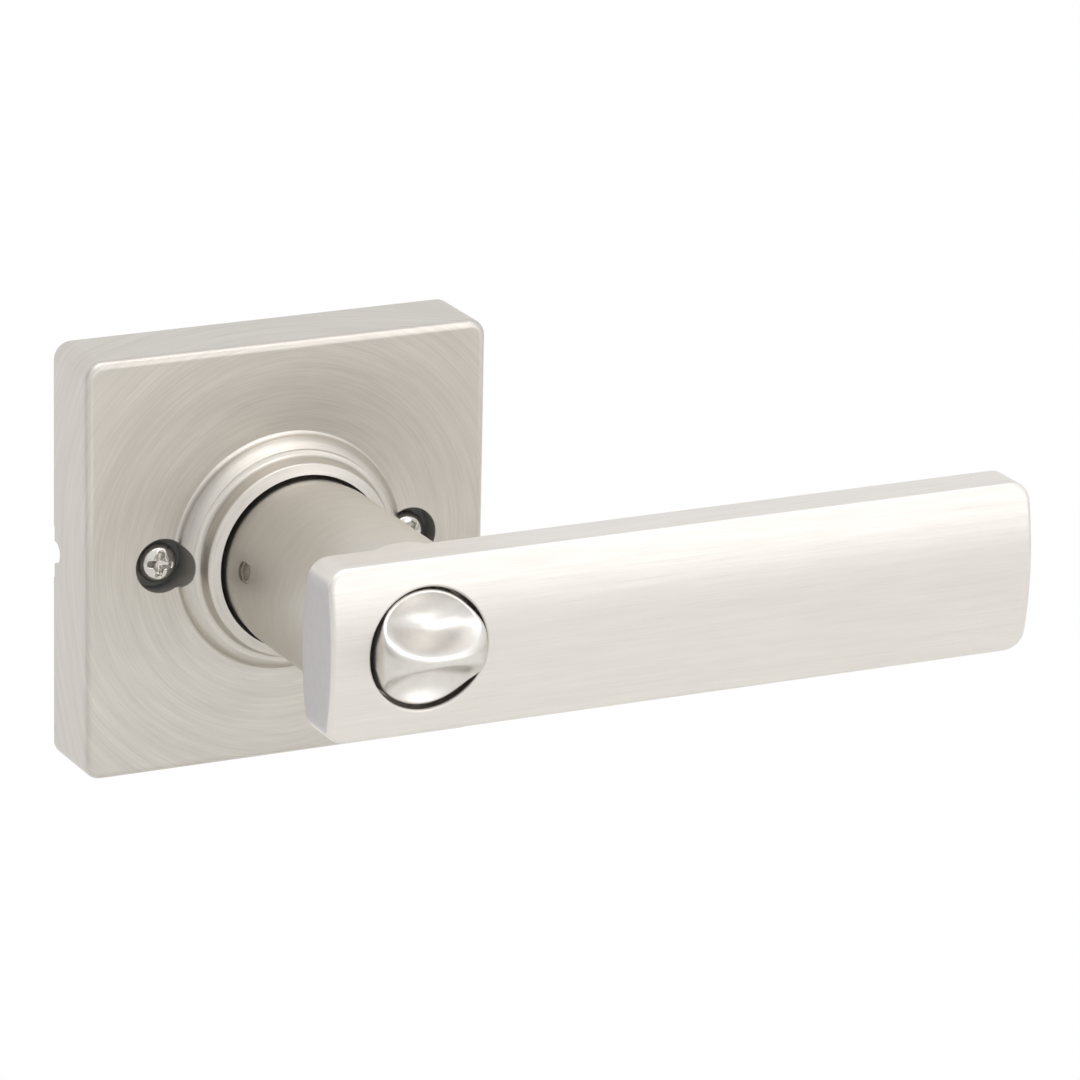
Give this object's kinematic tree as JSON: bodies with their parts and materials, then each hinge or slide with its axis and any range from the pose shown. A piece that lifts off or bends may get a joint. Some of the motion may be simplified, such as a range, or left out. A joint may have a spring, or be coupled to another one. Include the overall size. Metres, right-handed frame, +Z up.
{
  "type": "door lever handle",
  "caption": "Inside half of a square-rose privacy door lever: flat bar lever on a round neck, thumb-turn button in the lever face, sprung return and screws through the door.",
  "frame": {"origin": "on the spindle axis, in the plane of the door face, midway between the two through screws", "axes": "+X along the lever arm, +Y into the door away from the room, +Z up"},
  "size_m": [0.134, 0.1118, 0.066],
  "materials": {
    "rose_cover": "satin nickel on a zinc casting, brushed in circles",
    "mounting_plate": "zinc-plated pressed steel",
    "cassette_housing": "zinc casting",
    "cassette_rivets": "zinc-plated steel",
    "stop_pins": "zinc-plated steel",
    "neck_bearing": "black nylon",
    "mounting_screws": "nickel-plated steel",
    "return_spring": "oil-tempered spring steel",
    "lever_handle": "satin nickel on a zinc casting, brushed lengthwise",
    "drive_sleeve": "zinc-plated steel",
    "spring_driver": "zinc-plated steel",
    "snap_ring": "zinc-plated steel",
    "thrust_washer": "zinc-plated steel",
    "spring_washer": "zinc-plated steel",
    "spindle_hub": "zinc casting",
    "hub_pins": "zinc-plated steel",
    "catch_guide": "natural acetal",
    "detent_spring": "stainless spring strip",
    "catch_spring": "stainless spring wire",
    "button_washer": "zinc-plated steel",
    "lever_catch": "zinc-plated steel",
    "turn_button": "satin nickel, smooth",
    "turn_blade": "zinc-plated steel",
    "button_clip": "zinc-plated steel"
  },
  "bodies": {
    "rose": {"rose_cover": "rose_cover", "mounting_plate": "mounting_plate", "cassette_housing": "cassette_housing", "cassette_rivets": "cassette_rivets", "stop_pins": "stop_pins", "neck_bearing": "neck_bearing", "mounting_screws": "mounting_screws", "return_spring": "return_spring"},
    "lever": {"lever_handle": "lever_handle", "drive_sleeve": "drive_sleeve", "spring_driver": "spring_driver", "snap_ring": "snap_ring", "thrust_washer": "thrust_washer", "spring_washer": "spring_washer", "spindle_hub": "spindle_hub", "hub_pins": "hub_pins", "catch_guide": "catch_guide", "detent_spring": "detent_spring", "catch_spring": "catch_spring", "button_washer": "button_washer"},
    "catch": {"lever_catch": "lever_catch"},
    "button": {"turn_button": "turn_button", "turn_blade": "turn_blade", "button_clip": "button_clip"}
  },
  "joints": [
    {"name": "lever_turn", "type": "hinge", "parent": "rose", "child": "lever", "pos_m": [0, 0, 0], "axis": [0, 1, 0], "range_deg": [-45, 45], "stiffness_Nm_per_rad": 1.5, "springref_deg": -4.58, "deforming": ["return_spring"]},
    {"name": "button_turn", "type": "hinge", "parent": "lever", "child": "button", "pos_m": [0, 0, 0], "axis": [0, 1, 0], "range_deg": [0, 90], "deforming": ["detent_spring"]},
    {"name": "catch_press", "type": "slide", "parent": "lever", "child": "catch", "axis": [0.9848, 0, -0.1736], "range_m": [0, 0.0022], "stiffness_N_per_m": 400, "springref_m": -0.001, "deforming": ["catch_spring"]}
  ]
}
